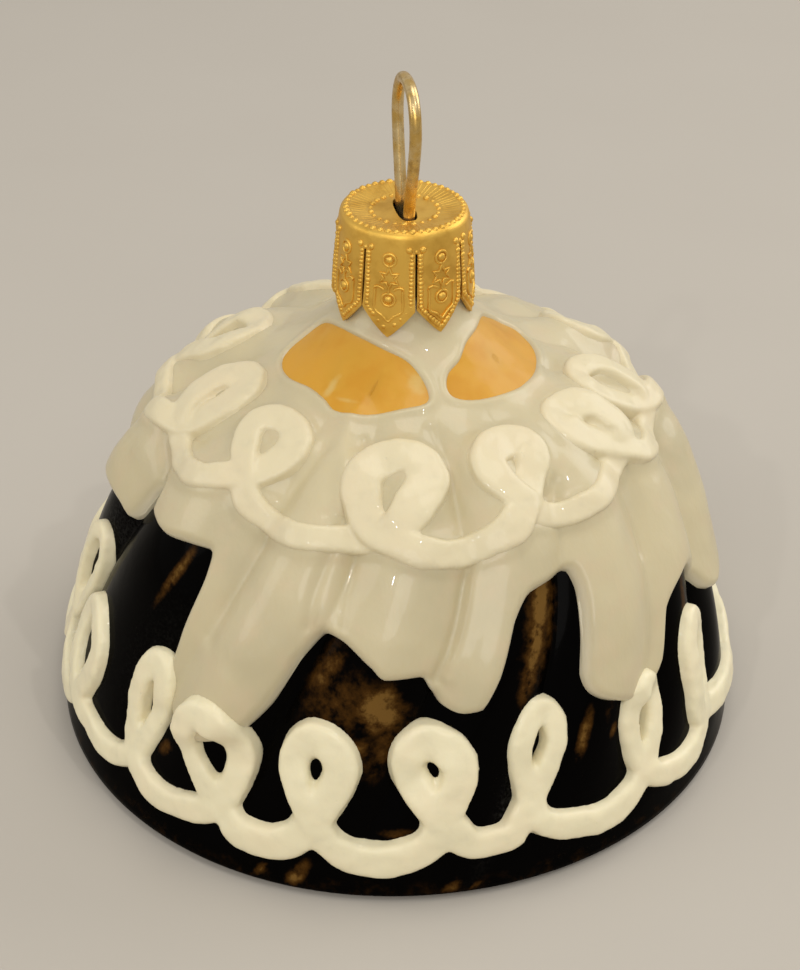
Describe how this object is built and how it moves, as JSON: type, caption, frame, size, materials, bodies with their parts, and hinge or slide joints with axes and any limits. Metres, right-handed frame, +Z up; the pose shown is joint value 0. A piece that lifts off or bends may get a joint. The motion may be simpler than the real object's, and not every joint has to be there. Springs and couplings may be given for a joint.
{
  "type": "glass christmas ornament shaped as an iced bundt cake",
  "caption": "Blown-glass tree ornament in the form of a fluted bundt cake with dripping ivory icing, piped curls, orange petals, a metal cap and a wire loop.",
  "frame": {"origin": "middle of the flat foot, on the surface that the ornament stands on", "axes": "+Z up through the neck and the wire loop, -Y towards the front, +X to the right of the front"},
  "size_m": [0.0627, 0.063, 0.0576],
  "materials": {
    "chocolate_glass": "glossy near-black brown blown glass, thinner and amber on the ridges",
    "ivory_icing": "glossy poured enamel, ivory",
    "cream_piping": "satin piped enamel, cream",
    "orange_glaze": "glossy orange glaze",
    "gold_cap": "stamped gold-coloured sheet",
    "worn_wire": "gold-washed steel wire, worn"
  },
  "bodies": {
    "root": {"cake_body": "chocolate_glass", "icing": "ivory_icing", "curls_top": "cream_piping", "curls_base": "cream_piping", "orange_petal_1": "orange_glaze", "orange_petal_2": "orange_glaze", "orange_petal_3": "orange_glaze", "cap": "gold_cap", "hanger": "worn_wire"}
  },
  "joints": []
}
